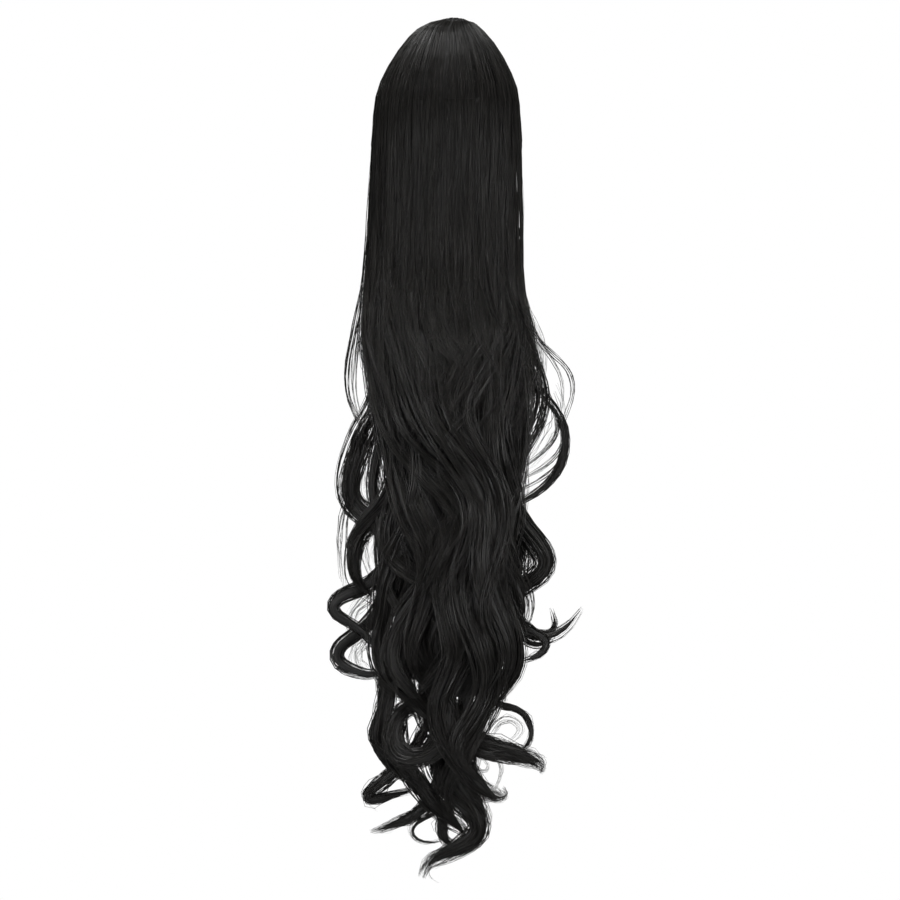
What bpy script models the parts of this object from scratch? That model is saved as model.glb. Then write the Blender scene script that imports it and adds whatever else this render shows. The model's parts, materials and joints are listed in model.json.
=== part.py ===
"""A long curly ponytail hairpiece, hung as it is worn at the back of a head.

Lengths are in millimetres and are multiplied by MM where a mesh is made. The origin is the
middle of the claw clip's grip. +Z is up, -Y is the side that shows, and the clip's mouth
opens towards +Y, where the wearer's own gathered hair goes in.
"""

import math
from collections import namedtuple

import bmesh
import bpy
import numpy as np

MM = 0.001
GAP = 0.3

# Claw clip: an oval C in section, held half open as on a gathered bun
CLIP_LENGTH = 80.0
CLIP_DEPTH = 54.0
CLIP_HEIGHT = 43.0
CLIP_WALL = 2.6
CLIP_ROUND_LENGTH = 86.0
CLIP_POWER = 2.6
MOUTH_HEIGHT = 16.0
MOUTH_START = 4.0
MOUTH_END = 60.0
TOOTH_PITCH = 12.0
TOOTH_GAP = 6.0
TEETH_START = 9.0
TEETH_ROOT = 16.0
TOOTH_GAPS_EACH_WAY = 3
SPINE_RADIUS = 3.4
SPINE_LENGTH = 44.0
SPINE_SEAT = 0.9
CLEAR_CUT = 5.0
OVAL_SIDES = 24
ROD_SIDES = 12
# Where the clip's sections lie, as shares of half its length
CLIP_STATIONS = (-1, -0.9, -0.75, -0.5, 0, 0.5, 0.75, 0.9, 1)

# Hair mass
CROWN_BOTTOM = -28.0
SECTION_POWER = 2.3
WAY_OUT_GAP = 1.3
WAY_OUT_START = 1.0
WAY_OUT_END = 90.0
RIDGES = 20
RIDGE_DEPTH = 1.7
RIDGE_DEPTH_SHARES = (0.4, 1.3)
RIDGE_JITTER = 0.3
RIDGE_SEED = 7
RIDGE_SWAY = 0.12
RIDGE_SWAY_PITCH = 24.0
RIDGE_SWAY_STEP = 0.5
WAVE_START = -205.0
WAVE_GROWTH = 120.0
CORE_END = -606.0
CORE_INSET = 5.0
CORE_STEP = 22.0

# Locks
LOCK_SIDES = 6
LOCK_STEP = 8.0
LOCK_STEP_PER_WIDTH = 0.8
TIP_HALF_WIDTH = 0.9
# A lock's width at shares of its length, as shares of its full width
TAPER_PLACES = (0, 0.15, 0.6, 0.85, 1)
TAPER_WIDTHS = (0.7, 1, 0.95, 0.65, 0.12)

BLACK_HAIR = (0.012, 0.011, 0.010, 1.0)
BLACK_PLASTIC = (0.010, 0.010, 0.011, 1.0)

Level = namedtuple("Level", "z left right front back")
LEVELS = (
    Level(46.8, -7, 14, -16, 8),
    Level(43.0, -19, 22, -22, 15),
    Level(37.8, -29, 27, -27, 20),
    Level(24.0, -41, 39, -35, 25),
    Level(11.0, -50, 47, -40, 27),
    Level(-3.0, -58, 54, -43, 28),
    Level(-16.0, -63, 59, -44, 28),
    Level(-30.0, -66, 61, -44, 28),
    Level(-70.0, -70, 64, -41, 27),
    Level(-124.0, -73, 65, -37, 25),
    Level(-178.0, -75, 66, -36, 25),
    Level(-232.0, -78, 74, -39, 28),
    Level(-286.0, -76, 84, -43, 31),
    Level(-340.0, -86, 68, -46, 34),
    Level(-394.0, -88, 70, -48, 36),
    Level(-448.0, -82, 76, -48, 36),
    Level(-502.0, -76, 70, -46, 35),
    Level(-556.0, -50, 48, -36, 27),
    Level(-606.0, -18, 36, -24, 19),
)

# One row for each lock: half its width, half its thickness, and the places (x, y, z) it runs through
Lock = namedtuple("Lock", "name half_width half_thickness route")

FRONT_LOCKS = (
    Lock("left_sweep", 13, 6, (
        (-64, -24, -196), (-68, -32, -250), (-62, -38, -290), (-42, -42, -316),
        (-18, -44, -346), (8, -44, -372), (14, -42, -396), (4, -41, -420),
        (-10, -40, -444), (0, -40, -466), (8, -41, -492), (2, -40, -522), (-10, -36, -548))),
    Lock("centre_left", 11, 6, (
        (-32, -32, -200), (-31, -38, -241), (-22, -42, -284), (-4, -45, -326), (22, -45, -356),
        (35, -43, -392), (28, -42, -430), (32, -43, -462), (54, -40, -493), (64, -34, -525),
        (52, -30, -556), (32, -27, -586))),
    Lock("centre", 11, 6, (
        (2, -34, -200), (-6, -40, -240), (-11, -43, -286), (6, -46, -326), (28, -45, -354),
        (34, -40, -390), (36, -38, -420), (54, -36, -452), (66, -30, -482))),
    Lock("right_inner", 11, 6, (
        (30, -32, -200), (29, -38, -246), (35, -42, -300), (42, -42, -354), (58, -38, -396),
        (80, -32, -420), (95, -26, -436), (90, -20, -451), (74, -16, -462), (60, -16, -474))),
    Lock("right_outer", 10, 6, (
        (56, -22, -196), (66, -22, -232), (80, -22, -258), (82, -22, -286), (74, -23, -318),
        (62, -26, -348), (58, -28, -382), (68, -28, -412), (60, -26, -440))),
    Lock("left_wave", 9, 6, (
        (-66, -14, -196), (-72, -16, -240), (-70, -18, -282), (-82, -20, -318), (-91, -20, -352),
        (-92, -22, -384), (-76, -28, -406), (-52, -36, -432), (-26, -41, -450), (-6, -42, -476),
        (-2, -40, -506))),
    Lock("left_fall", 9, 5, (
        (-40, -30, -300), (-48, -32, -345), (-64, -30, -380), (-84, -24, -405), (-90, -18, -432),
        (-86, -14, -458), (-66, -20, -480), (-58, -24, -508), (-62, -24, -532), (-48, -26, -554),
        (-24, -28, -562))),
    Lock("centre_turn", 10, 6, (
        (-66, -30, -430), (-50, -38, -455), (-32, -42, -474), (-26, -43, -502), (-36, -40, -528),
        (-50, -32, -548))),
    Lock("left_curl_upper", 4.6, 3, (
        (-58, -18, -452), (-76, -17, -463), (-94, -14, -468), (-105, -10, -477), (-104, -8, -488),
        (-90, -9, -496), (-74, -12, -506), (-58, -16, -520))),
    Lock("right_loop", 5.5, 3, (
        (66, -12, -268), (86, -10, -291), (99, -9, -302), (104, -9, -326), (99, -9, -350),
        (86, -10, -370), (68, -12, -382), (50, -14, -388))),
    Lock("right_horn", 5, 4, (
        (46, -16, -470), (62, -13, -492), (76, -10, -506), (90, -9, -508), (102, -8, -502),
        (111, -6, -493), (116, -5, -484))),
    Lock("tail_left", 8, 5, (
        (-44, -18, -520), (-58, -17, -548), (-62, -16, -574), (-65, -15, -596), (-56, -16, -615),
        (-36, -20, -622), (-14, -23, -616), (0, -24, -600))),
    Lock("tail_ring", 7, 5, (
        (-30, -12, -545), (-46, -14, -570), (-30, -22, -571), (-14, -25, -582), (-6, -25, -602),
        (-16, -23, -622), (-30, -18, -640), (-32, -12, -652))),
    Lock("tail_stem", 8, 6, (
        (4, -12, -535), (-2, -10, -580), (-10, -10, -624), (-6, -12, -650), (12, -16, -668),
        (26, -18, -682), (22, -17, -696), (2, -15, -706), (-14, -13, -715), (-22, -11, -722))),
    Lock("tail_right_tip", 5.5, 4, (
        (10, -20, -560), (16, -23, -592), (34, -25, -605), (54, -24, -610), (72, -22, -615),
        (85, -20, -623))),
    Lock("right_ring", 3.2, 2.5, (
        (22, -11, -552), (34, -8, -574), (50, -6, -573), (63, -6, -574), (72, -7, -586),
        (72, -9, -600), (62, -12, -610))),
    Lock("tail_right_lower", 6, 4, (
        (-4, -16, -600), (2, -18, -626), (16, -20, -642), (32, -20, -651), (45, -18, -650),
        (50, -16, -642))),
    Lock("tail_left_point", 5, 3.5, (
        (-8, -12, -604), (-26, -12, -617), (-42, -12, -631), (-60, -10, -638), (-74, -8, -648),
        (-62, -7, -654), (-44, -8, -652), (-28, -10, -644))),
    Lock("tail_left_horn", 4.5, 3.5, (
        (-4, -7, -640), (-18, -7, -656), (-34, -6, -667), (-50, -6, -675), (-62, -6, -680))),
)

BACK_LOCKS = (
    Lock("back_left_outer", 11, 6, (
        (-62, 12, -196), (-68, 16, -250), (-62, 20, -300), (-74, 22, -350), (-84, 20, -396),
        (-70, 20, -436), (-56, 20, -470), (-68, 18, -508), (-62, 16, -545), (-42, 14, -575),
        (-32, 12, -600))),
    Lock("back_left", 12, 6, (
        (-38, 20, -190), (-40, 26, -228), (-30, 30, -270), (-42, 32, -322), (-52, 34, -372),
        (-36, 34, -420), (-24, 33, -462), (-40, 31, -506), (-42, 26, -546), (-22, 20, -584),
        (-26, 14, -622))),
    Lock("back_centre", 12, 6, (
        (-6, 22, -200), (-10, 28, -250), (4, 32, -300), (-8, 34, -350), (-18, 36, -400),
        (0, 36, -444), (12, 35, -486), (-4, 32, -528), (-8, 27, -570), (12, 21, -610),
        (10, 15, -652), (-8, 11, -680))),
    Lock("back_right", 12, 6, (
        (26, 20, -204), (25, 26, -266), (40, 30, -322), (30, 32, -376), (20, 34, -424),
        (38, 34, -468), (48, 33, -506), (34, 31, -544), (22, 26, -580), (34, 20, -612),
        (28, 14, -640))),
    Lock("back_right_outer", 11, 6, (
        (54, 12, -196), (62, 16, -240), (74, 20, -284), (66, 20, -330), (54, 22, -374),
        (66, 22, -414), (78, 20, -448), (66, 20, -484), (52, 18, -520), (58, 16, -552),
        (46, 14, -584))),
    Lock("left_curl_lower", 4.6, 3, (
        (-56, 12, -488), (-74, 9, -505), (-92, 7, -512), (-104, 6, -522), (-104, 5, -534),
        (-92, 5, -541), (-74, 6, -544), (-56, 8, -544))),
    Lock("right_flick", 4, 3, (
        (50, 10, -500), (66, 8, -520), (82, 7, -520), (92, 6, -511), (96, 6, -500))),
    Lock("back_tail_left", 6, 4, (
        (-30, 14, -560), (-44, 12, -592), (-36, 10, -620), (-48, 9, -642), (-66, 7, -648),
        (-74, 6, -640))),
    Lock("back_tail_right", 6, 4, (
        (14, 14, -590), (28, 12, -618), (20, 10, -644), (30, 8, -664), (44, 7, -662),
        (48, 6, -650))),
)


def clear_scene():
    """Starts from an empty scene."""
    for item in list(bpy.data.objects):
        bpy.data.objects.remove(item, do_unlink=True)


def make_material(name, colour, roughness, metallic=0.0):
    """A Principled material of one colour."""
    material = bpy.data.materials.new(name)
    material.use_nodes = True
    shader = material.node_tree.nodes["Principled BSDF"]
    shader.inputs["Base Color"].default_value = colour
    shader.inputs["Roughness"].default_value = roughness
    shader.inputs["Metallic"].default_value = metallic
    return material


def add_object(name, mesh, collection, material=None):
    """Links a mesh as a named object."""
    item = bpy.data.objects.new(name, mesh)
    collection.objects.link(item)
    if material:
        mesh.materials.append(material)
    return item


def make_helper(item):
    """Marks an object that is only cut with or joined on."""
    item.hide_render = True
    item.display_type = "WIRE"
    return item


def add_boolean(item, other, operation):
    """Adds a Boolean with one object, or with every object of a collection."""
    modifier = item.modifiers.new(operation.title(), "BOOLEAN")
    modifier.solver = "EXACT"
    modifier.operation = operation
    if isinstance(other, bpy.types.Collection):
        modifier.operand_type = "COLLECTION"
        modifier.collection = other
    else:
        modifier.object = other
    return modifier


def loft_mesh(name, rings):
    """A closed mesh through rings of points with equal counts, with both ends filled."""
    mesh = bpy.data.meshes.new(name)
    shell = bmesh.new()
    loops = [[shell.verts.new([c * MM for c in point]) for point in ring] for ring in rings]
    for first, second in zip(loops, loops[1:]):
        for i in range(len(first)):
            j = (i + 1) % len(first)
            shell.faces.new((first[i], first[j], second[j], second[i]))
    shell.faces.new(loops[0][::-1])
    shell.faces.new(loops[-1])
    bmesh.ops.recalc_face_normals(shell, faces=shell.faces)
    shell.to_mesh(mesh)
    shell.free()
    mesh.shade_smooth()
    mesh.set_sharp_from_angle(angle=math.radians(50))
    return mesh


def box_mesh(name, low, high):
    """A box between two corners."""
    mesh = bpy.data.meshes.new(name)
    shell = bmesh.new()
    bmesh.ops.create_cube(shell, size=1.0)
    for vertex in shell.verts:
        for axis in range(3):
            vertex.co[axis] = (high[axis] if vertex.co[axis] > 0 else low[axis]) * MM
    shell.to_mesh(mesh)
    shell.free()
    return mesh


def rod_mesh(name, radius, low, high):
    """A rod along X."""
    rings = []
    for x in (low, high):
        turns = [2 * math.pi * i / ROD_SIDES for i in range(ROD_SIDES)]
        rings.append([(x, radius * math.cos(t), radius * math.sin(t)) for t in turns])
    return loft_mesh(name, rings)


def between_levels(z):
    """The hair mass's left, right, front and back at a height, between the rows of LEVELS."""
    heights = [-level.z for level in LEVELS]
    return [float(np.interp(-z, heights, [level[k] for level in LEVELS])) for k in range(1, 5)]


def section_point(z, angle, inset=0.0):
    """A point of the hair mass's outline at a height. Angle 0 is the right, 90 the back."""
    left, right, front, back = between_levels(z)
    cosine, sine = math.cos(angle), math.sin(angle)
    depth = (back if sine > 0 else -front) - inset
    width = (right - left) / 2 - inset
    power = 2 / SECTION_POWER
    x = (left + right) / 2 + math.copysign(abs(cosine) ** power, cosine) * width
    y = math.copysign(abs(sine) ** power, sine) * depth
    return x, y, z


def wave_share(z):
    """How far the hair has begun to wave at a height, from 0 at the crown to 1."""
    return min(1.0, max(0.0, (WAVE_START - z) / WAVE_GROWTH))


def ridge_ring(z, start, end, count, inset=0.0):
    """Part of the outline from one angle to another, in ridges and valleys between strand groups."""
    spread = np.random.default_rng(RIDGE_SEED)
    ring = []
    for i in range(count + 1):
        inner = 0 < i < count
        jitter = spread.uniform(-RIDGE_JITTER, RIDGE_JITTER) if inner else 0.0
        depth = spread.uniform(*RIDGE_DEPTH_SHARES) * RIDGE_DEPTH if i % 2 else 0.0
        swing = math.sin(z / RIDGE_SWAY_PITCH + i * RIDGE_SWAY_STEP)
        sway = RIDGE_SWAY * wave_share(z) * swing if inner else 0.0
        share = (i + jitter) / count
        ring.append(section_point(z, start + (end - start) * share + sway, inset + depth))
    return ring


def clip_scale(x):
    """How far the clip's section has shrunk towards its ends, at a place along its length."""
    return (1 - abs(2 * x / CLIP_ROUND_LENGTH) ** CLIP_POWER) ** (1 / CLIP_POWER)


def clip_mesh(name, offset, reach=0.0):
    """The clip's outer form, moved outwards by an offset: an oval tube along X with rounded ends."""
    half = CLIP_LENGTH / 2
    rings = []
    for x in (share * half for share in CLIP_STATIONS):
        depth = CLIP_DEPTH / 2 * clip_scale(x) + offset
        height = CLIP_HEIGHT / 2 * clip_scale(x) + offset
        ring = []
        for i in range(OVAL_SIDES):
            angle = 2 * math.pi * i / OVAL_SIDES
            ring.append((x, depth * math.cos(angle), height * math.sin(angle)))
        rings.append(ring)
    rings[0] = [(-half - reach, y, z) for x, y, z in rings[0]]
    rings[-1] = [(half + reach, y, z) for x, y, z in rings[-1]]
    return loft_mesh(name, rings)


def way_out_mesh(name, offset):
    """A straight way out behind for the clip's outline, seen along Y."""
    rings = []
    for y in (WAY_OUT_START, WAY_OUT_END):
        ring = []
        for i in range(OVAL_SIDES):
            angle = 2 * math.pi * i / OVAL_SIDES
            cosine, sine = math.cos(angle), math.sin(angle)
            x = math.copysign(abs(cosine) ** (2 / CLIP_POWER), cosine)
            z = math.copysign(abs(sine) ** (2 / CLIP_POWER), sine)
            ring.append((x * (CLIP_ROUND_LENGTH / 2 + offset), y, z * (CLIP_HEIGHT / 2 + offset)))
        rings.append(ring)
    return loft_mesh(name, rings)


def make_claw_clip(parts, helpers, material):
    """The clasp that hair hides: two toothed jaws and their spine, in one plain piece."""
    half = CLIP_LENGTH / 2
    clip = add_object("claw_clip", clip_mesh("claw_clip", 0.0), parts, material)
    hollow = make_helper(add_object(
        "clip_hollow", clip_mesh("clip_hollow", -CLIP_WALL, reach=CLEAR_CUT), helpers))
    add_boolean(clip, hollow, "DIFFERENCE")
    mouth = make_helper(add_object("clip_mouth", box_mesh(
        "clip_mouth", (-half - CLEAR_CUT, MOUTH_START, -MOUTH_HEIGHT / 2),
        (half + CLEAR_CUT, MOUTH_END, MOUTH_HEIGHT / 2)), helpers))
    add_boolean(clip, mouth, "DIFFERENCE")
    gaps = bpy.data.collections.new("tooth_gaps")
    helpers.children.link(gaps)
    for jaw in (-1, 1):
        low, high = sorted((jaw * MOUTH_HEIGHT / 4, jaw * TEETH_ROOT))
        for i in range(-TOOTH_GAPS_EACH_WAY, TOOTH_GAPS_EACH_WAY + 1):
            place = i * TOOTH_PITCH + jaw * TOOTH_PITCH / 4
            left = place - (half if i == -TOOTH_GAPS_EACH_WAY else TOOTH_GAP / 2)
            right = place + (half if i == TOOTH_GAPS_EACH_WAY else TOOTH_GAP / 2)
            name = f"tooth_gap_{'upper' if jaw > 0 else 'lower'}_{i}"
            make_helper(add_object(name, box_mesh(
                name, (left, TEETH_START, low), (right, MOUTH_END, high)), gaps))
    add_boolean(clip, gaps, "DIFFERENCE")
    spine = make_helper(add_object(
        "clip_spine", rod_mesh("clip_spine", SPINE_RADIUS, -SPINE_LENGTH / 2, SPINE_LENGTH / 2), helpers))
    spine.location.y = (-CLIP_DEPTH / 2 + CLIP_WALL + SPINE_RADIUS * SPINE_SEAT) * MM
    add_boolean(clip, spine, "UNION")
    return clip


def make_crown(parts, helpers, material):
    """The dome of hair over the clip, combed out from its top and open behind at the mouth."""
    heights = [level.z for level in LEVELS if level.z > CROWN_BOTTOM] + [CROWN_BOTTOM]
    rings = [ridge_ring(z, 0.0, 2 * math.pi, 2 * RIDGES)[:-1] for z in heights]
    crown = add_object("crown", loft_mesh("crown", rings), parts, material)
    cavity = make_helper(add_object(
        "crown_cavity", clip_mesh("crown_cavity", GAP, reach=GAP), helpers))
    way_out = make_helper(add_object(
        "crown_way_out", way_out_mesh("crown_way_out", WAY_OUT_GAP), helpers))
    add_boolean(crown, cavity, "DIFFERENCE")
    add_boolean(crown, way_out, "DIFFERENCE")
    return crown


def smooth_route(points, step):
    """Points about a step apart on a smooth curve through the given places."""
    places = np.array(points, float)
    ends = np.vstack([2 * places[0] - places[1], places, 2 * places[-1] - places[-2]])
    knots = np.concatenate([[0], np.cumsum(np.linalg.norm(np.diff(ends, axis=0), axis=1) ** 0.5)])
    curve = [places[0]]
    for i in range(1, len(ends) - 2):
        count = max(1, round(np.linalg.norm(ends[i + 1] - ends[i]) / step))
        for t in np.linspace(knots[i], knots[i + 1], count + 1)[1:]:
            a = [((knots[i + k] - t) * ends[i + k - 1] + (t - knots[i + k - 1]) * ends[i + k])
                 / (knots[i + k] - knots[i + k - 1]) for k in range(3)]
            b = [((knots[i + k + 1] - t) * a[k] + (t - knots[i + k - 1]) * a[k + 1])
                 / (knots[i + k + 1] - knots[i + k - 1]) for k in range(2)]
            curve.append(((knots[i + 1] - t) * b[0] + (t - knots[i]) * b[1])
                         / (knots[i + 1] - knots[i]))
    return np.array(curve)


def lock_taper(share):
    """A lock's width along it, as a share of its full width, from its root at 0 to its tip at 1."""
    return float(np.interp(share, TAPER_PLACES, TAPER_WIDTHS))


def lock_rings(lock):
    """Flattened six-sided sections along a lock, turned no more than its bends turn them."""
    curve = smooth_route(lock.route, max(LOCK_STEP, 2 * LOCK_STEP_PER_WIDTH * lock.half_width))
    tangents = np.gradient(curve, axis=0)
    tangents /= np.linalg.norm(tangents, axis=1)[:, None]
    outward = np.array([0.0, 1.0, 0.0])
    rings = []
    for i, (place, tangent) in enumerate(zip(curve, tangents)):
        outward = outward - tangent * outward.dot(tangent)
        outward /= np.linalg.norm(outward)
        across = np.cross(tangent, outward)
        size = max(lock_taper(i / (len(curve) - 1)), TIP_HALF_WIDTH / lock.half_width)
        ring = []
        for k in range(LOCK_SIDES):
            angle = 2 * math.pi * k / LOCK_SIDES
            ring.append(place + across * (lock.half_width * size * math.cos(angle))
                        + outward * (lock.half_thickness * size * math.sin(angle)))
        rings.append(ring)
    return rings


def make_fall(name, locks, start, end, side, parts, helpers, material):
    """One tier of the length: a ridged backing that hangs from the crown, with its locks fused on."""
    heights = list(np.arange(CROWN_BOTTOM - GAP, CORE_END, -CORE_STEP)) + [CORE_END]
    rings = []
    for z in heights:
        ring = ridge_ring(z, start, end, RIDGES, CORE_INSET * wave_share(z))
        rings.append([(x, side * max(abs(y), GAP / 2), height) for x, y, height in ring])
    fall = add_object(name, loft_mesh(name, rings), parts, material)
    bundle = bpy.data.collections.new(name + "_locks")
    helpers.children.link(bundle)
    for lock in locks:
        make_helper(add_object(lock.name, loft_mesh(lock.name, lock_rings(lock)), bundle))
    add_boolean(fall, bundle, "UNION")
    return fall


def main():
    clear_scene()
    parts = bpy.data.collections.new("ponytail_hairpiece")
    helpers = bpy.data.collections.new("helpers")
    for collection in (parts, helpers):
        bpy.context.scene.collection.children.link(collection)
    hair = make_material("black_hair", BLACK_HAIR, 0.45)
    plastic = make_material("black_plastic", BLACK_PLASTIC, 0.3)
    make_claw_clip(parts, helpers, plastic)
    make_crown(parts, helpers, hair)
    make_fall("front_fall", FRONT_LOCKS, math.pi, 2 * math.pi, -1, parts, helpers, hair)
    make_fall("back_fall", BACK_LOCKS, 0.0, math.pi, 1, parts, helpers, hair)


main()
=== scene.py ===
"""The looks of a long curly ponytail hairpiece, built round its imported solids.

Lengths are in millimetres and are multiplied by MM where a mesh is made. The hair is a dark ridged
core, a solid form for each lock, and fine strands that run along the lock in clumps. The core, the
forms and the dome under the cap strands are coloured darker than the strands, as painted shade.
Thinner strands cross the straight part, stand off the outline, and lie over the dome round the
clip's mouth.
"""

import json
import math
from collections import namedtuple

import bpy
import numpy as np
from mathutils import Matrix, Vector

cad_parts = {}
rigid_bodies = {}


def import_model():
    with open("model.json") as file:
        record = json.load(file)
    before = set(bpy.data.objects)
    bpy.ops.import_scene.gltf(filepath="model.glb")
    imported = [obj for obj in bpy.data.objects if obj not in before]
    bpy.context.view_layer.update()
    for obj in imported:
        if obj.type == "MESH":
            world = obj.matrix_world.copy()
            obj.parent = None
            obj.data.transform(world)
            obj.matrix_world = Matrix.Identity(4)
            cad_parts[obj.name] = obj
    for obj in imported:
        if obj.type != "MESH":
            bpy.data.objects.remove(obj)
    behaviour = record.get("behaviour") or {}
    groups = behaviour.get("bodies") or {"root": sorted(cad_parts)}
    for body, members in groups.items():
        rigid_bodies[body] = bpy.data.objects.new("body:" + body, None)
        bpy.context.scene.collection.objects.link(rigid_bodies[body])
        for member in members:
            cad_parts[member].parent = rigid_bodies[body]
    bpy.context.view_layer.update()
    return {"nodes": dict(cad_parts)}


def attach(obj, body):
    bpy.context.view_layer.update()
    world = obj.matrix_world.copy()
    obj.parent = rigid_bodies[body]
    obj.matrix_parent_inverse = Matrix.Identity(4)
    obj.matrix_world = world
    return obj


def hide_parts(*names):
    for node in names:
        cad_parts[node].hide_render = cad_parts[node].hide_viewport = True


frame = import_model()

MM = 0.001

# The body of the hair: close to the part's own section down to -232, and drawn in below it
Level = namedtuple("Level", "z left right front back")
LEVELS = (
    Level(48.4, 0, 7, -8, 2),
    Level(46.8, -7, 14, -16, 8),
    Level(43.0, -19, 22, -22, 15),
    Level(37.8, -29, 27, -27, 20),
    Level(24.0, -41, 39, -35, 25),
    Level(11.0, -50, 47, -40, 27),
    Level(-3.0, -58, 54, -43, 28),
    Level(-16.0, -63, 59, -44, 28),
    Level(-30.0, -66, 61, -44, 28),
    Level(-70.0, -70, 64, -41, 27),
    Level(-124.0, -73, 65, -37, 25),
    Level(-178.0, -75, 66, -36, 25),
    Level(-205.0, -77, 67, -37, 26),
    Level(-232.0, -78, 74, -39, 28),
    Level(-286.0, -70, 76, -43, 31),
    Level(-340.0, -58, 60, -44, 32),
    Level(-394.0, -54, 56, -44, 32),
    Level(-448.0, -50, 58, -42, 32),
    Level(-502.0, -52, 56, -40, 30),
    Level(-556.0, -44, 46, -32, 24),
    Level(-606.0, -14, 30, -20, 14),
)
SECTION_POWER = 2.3
LEVEL_BLUR = 9

# Heights where a lock's line is set on the dome and the straight body before its own route starts
CROWN_STEPS = (48.0, 45.5, 41.0, 33.0, 23.0, 11.0, -3.0, -16.0, -30.0, -70.0, -118.0, -160.0)
NAPE_STEPS = (-25.0, -34.0, -70.0, -118.0, -160.0)

# Where the hair comes loose from its straight body and starts to wave
LOOSE_START = -150.0
LOOSE_REACH = 120.0
LOOSE_END = -330.0
BODY_RADIUS = 58.0
BODY_SPREAD = 1.2

# How far strands stand proud of the body: over the dome, and in a band below it, in front and behind
CROWN_PROUD = 1.5
CROWN_PROUD_END = -20.0
CROWN_PROUD_REACH = 50.0
BAND_PROUD = 3.0
BAND_HEIGHT = -48.0
BAND_REACH = 32.0

# A lock's middle line, its rings, and how it twists and waves
LINE_STEP = 3.0
LINE_INSET = 1.5
LINE_BLUR = 12
BEND_BLUR = 5
CHORD_ERROR = 0.28
FLATTEST_BEND = 1e-5
SHORTEST_SEGMENT = 4.5
LONGEST_SEGMENT = 17.0
FEWEST_SEGMENTS = 8
END_CLEAR = 3.0
LOCK_TWIST = 0.17
TWIST_WAVES = (1.6, 2.6)
LOCK_WAVE = 2.5
WAVE_PITCH = (80, 125)

# A lock's width between its root and its tip, as (share of its route, share of its full width)
PROFILE = ((0.28, 1.0), (0.7, 0.9), (0.88, 0.62))
ROOT_WIDTH = 1.5
ROOTED_TIP = 0.15
FREE_TIP = 0.28

# How a lock's strands are shared out over it: whether they start hidden in it, and where they end
Stretch = namedtuple("Stretch", "share hidden end")
ROOTED_STRETCHES = (
    Stretch(0.42, False, 1.0),
    Stretch(0.16, False, 0.9),
    Stretch(0.27, True, 1.0),
    Stretch(0.15, True, 0.82),
)
FREE_STRETCHES = (Stretch(0.7, False, 1.0), Stretch(0.3, False, 0.93))
HIDDEN_START = 90.0
START_SCATTER = 12.0
HIDDEN_SCATTER = 60.0
ROOTED_END_SCATTER = 24.0
FREE_END_SCATTER = 12.0
END_CROWDING = 1.5

# How deep a strand's root is sunk and over what length it rises, and where strands lie on the body
Root = namedtuple("Root", "depth reach")
TOP_ROOT = Root(2.5, 7)
HIDDEN_ROOT = Root(4.0, 26)
STRAND_INSET = 1.4
STRAND_LIFT = 1.7

# A strand has three sides and is a little flat, finer at its ends and where the hair is straight
STRAND_SIDES = 3
STRAND_TURN = 0.25
STRAND_FLATNESS = 0.8
STRAND_RADII = (0.24, 0.34, 0.48)
STRAND_SHARES = (0.35, 0.45, 0.20)
RADIUS_SCATTER = (0.85, 1.15)
TIP_SIZE = 0.25
TIP_REACH = 60.0
ROOT_SIZE = 0.4
FINE = 0.5
STRAIGHT_FINENESS = 0.72

# Clumps of strands: their lanes and heights in a lock, and how clumps and single strands swing
CLUMP_STRANDS = 6
FEWEST_CLUMPS = 3
OUTER_LANE = 0.88
LANE_SCATTER = 0.6
EDGE_HEIGHT = 0.05
ROOTED_LOW = 0.15
FREE_LOW = -0.7
FULL_SWING_WIDTH = 10.0
ROOT_LOOSENESS = 0.35
LOOSENING = 1.6
GATHER_PLACES = (0, 0.6, 1)
GATHER_SHARES = (1, 0.85, 0.35)
Swing = namedtuple("Swing", "size waves")
CLUMP_ACROSS = Swing(2.0, (2.0, 4.5))
CLUMP_OUT = Swing(0.9, (1.6, 3.7))
STRAND_ACROSS = Swing(1.0, (1.5, 4))
STRAND_OUT = Swing(0.6, (2.5, 6))
SWING_PACE = (0.7, 1.3)
ACROSS_SCATTER = 1.5
OUT_SCATTER = 0.7
STRAY_SHARE = 0.06
STRAY_SWING = 5.0
STRAY_OUT = 0.15

# The solid form under a lock's strands, in shares of the lock's size, and how far short it ends
Form = namedtuple("Form", "width thickness short")
WIDE_LOCK = 11.5
WIDE_FORM = Form(0.66, 0.5, 14)
NARROW_FORM = Form(0.88, 0.75, 6)
FORM_SIDES = 20
FORM_START = -310.0
FREE_FORM_START = 2.0
FORM_SINK = 0.3
FORM_RIDGE = 0.16
FORM_ROOT_REACH = 40.0
FORM_ROOT_SIZE = 0.1
FORM_TIP_REACH = 6.0
FORM_TIP_WIDTHS = 3
FORM_TIP_SIZE = 0.08

# Locks that fill the body between the larger ones, and a veil of them that rises and runs over it
Fan = namedtuple("Fan", "first last locks strands")
FRONT_FAN = Fan(-172, -8, 10, 60)
BACK_FAN = Fan(12, 168, 7, 50)
VEIL_FAN = Fan(-158, -22, 8, 30)
FILL_TOP = -150.0
FILL_BOTTOM = -560.0
FILL_STEP = 30.0
FILL_HALF_WIDTH = 14
FILL_HALF_THICKNESS = 4
FILL_SWAY = 0.24
FILL_SWAY_REACH = 150.0
FILL_PITCH = (120, 165)
FILL_INSET = 5.0
FILL_SINK = 6.0
FILL_SINK_REACH = 90.0
VEIL_RISE = 12.0
VEIL_REACH = 130.0

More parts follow.
